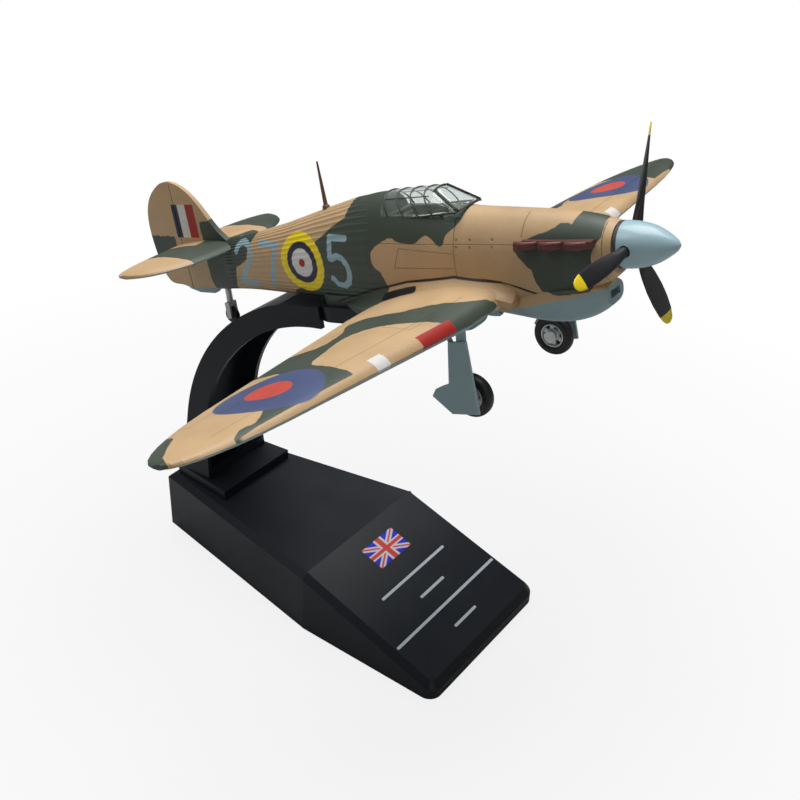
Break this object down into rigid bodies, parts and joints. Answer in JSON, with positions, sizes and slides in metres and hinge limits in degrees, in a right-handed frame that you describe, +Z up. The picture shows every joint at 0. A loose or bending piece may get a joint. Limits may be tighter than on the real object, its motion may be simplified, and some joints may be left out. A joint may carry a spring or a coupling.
{
  "type": "propeller plane desk model on stand",
  "caption": "Die-cast style desk model of a low wing propeller fighter on a curved display stand, with spinning propeller and rolling wheels.",
  "frame": {"origin": "centre of the whole model's outline on the table surface", "axes": "+X towards the nose, +Y to the port wing tip, +Z up"},
  "size_m": [0.1327, 0.169, 0.1268],
  "materials": {
    "sky_paint": "satin pale sky blue paint",
    "blade_black": "satin black with yellow tips",
    "bare_steel": "bare steel",
    "bush_plastic": "plain moulded plastic",
    "camouflage_paint": "matt sand and dark green camouflage, pale blue grey underneath",
    "camouflage_plastic": "matt sand and dark green camouflage, pale blue grey underneath",
    "underside_paint": "matt pale blue grey paint",
    "underside_plastic": "matt pale blue grey paint",
    "cockpit_plastic": "matt dark grey green",
    "clear_glazing": "clear moulded glazing",
    "frame_paint": "dark olive framing paint",
    "silver_plastic": "silver paint",
    "tyre_black": "satin black tyre",
    "mast_brown": "matt brown",
    "stand_black": "semi gloss black moulding",
    "exhaust_brown": "burnt red brown paint"
  },
  "bodies": {
    "stand": {"stand_base": "stand_black", "stand_arm": "stand_black", "arm_screws": "bare_steel", "cradle_pad": "stand_black"},
    "aircraft": {"nose_bush": "bush_plastic", "fuselage_casting": "camouflage_paint", "wing_casting": "camouflage_paint", "chin_cowl": "underside_paint", "radiator_fairing": "underside_paint", "carburettor_intake": "underside_paint", "cockpit_tub": "cockpit_plastic", "pilot_seat": "cockpit_plastic", "control_column": "cockpit_plastic", "instrument_panel": "cockpit_plastic", "canopy_glazing": "clear_glazing", "canopy_frame": "frame_paint", "fin_and_tail_cone": "camouflage_plastic", "rudder": "camouflage_plastic", "tailplane_left": "camouflage_plastic", "tailplane_right": "camouflage_plastic", "tail_strut": "silver_plastic", "antenna_mast": "mast_brown", "pitot_tube": "underside_plastic", "exhaust_left": "exhaust_brown", "exhaust_right": "exhaust_brown", "undercarriage_leg_left": "underside_plastic", "undercarriage_leg_right": "underside_plastic", "undercarriage_door_left": "underside_plastic", "undercarriage_door_right": "underside_plastic", "axle_head_left": "silver_plastic", "axle_head_right": "silver_plastic"},
    "propeller": {"spinner": "sky_paint", "spinner_backplate": "sky_paint", "propeller_blades": "blade_black", "propeller_shaft": "bare_steel", "shaft_collar": "bare_steel"},
    "left_wheel": {"main_tyre_left": "tyre_black", "wheel_hub_left": "silver_plastic"},
    "right_wheel": {"main_tyre_right": "tyre_black", "wheel_hub_right": "silver_plastic"},
    "tail_roller": {"tail_wheel": "tyre_black"}
  },
  "joints": [
    {"name": "lift_off", "type": "slide", "parent": "stand", "child": "aircraft", "axis": [-0.2588, 0, 0.9659], "range_m": [0, 0.02]},
    {"name": "propeller_spin", "type": "hinge", "parent": "aircraft", "child": "propeller", "pos_m": [0.058, 0, 0.10815], "axis": [0.9659, 0, 0.2588], "continuous": true},
    {"name": "left_wheel_roll", "type": "hinge", "parent": "aircraft", "child": "left_wheel", "pos_m": [0.03713, 0.0156, 0.07668], "axis": [0, 1, 0], "continuous": true},
    {"name": "right_wheel_roll", "type": "hinge", "parent": "aircraft", "child": "right_wheel", "pos_m": [0.03713, -0.0156, 0.07668], "axis": [0, 1, 0], "continuous": true},
    {"name": "tail_wheel_roll", "type": "hinge", "parent": "aircraft", "child": "tail_roller", "pos_m": [-0.03976, 0, 0.06187], "axis": [0, 1, 0], "continuous": true}
  ]
}
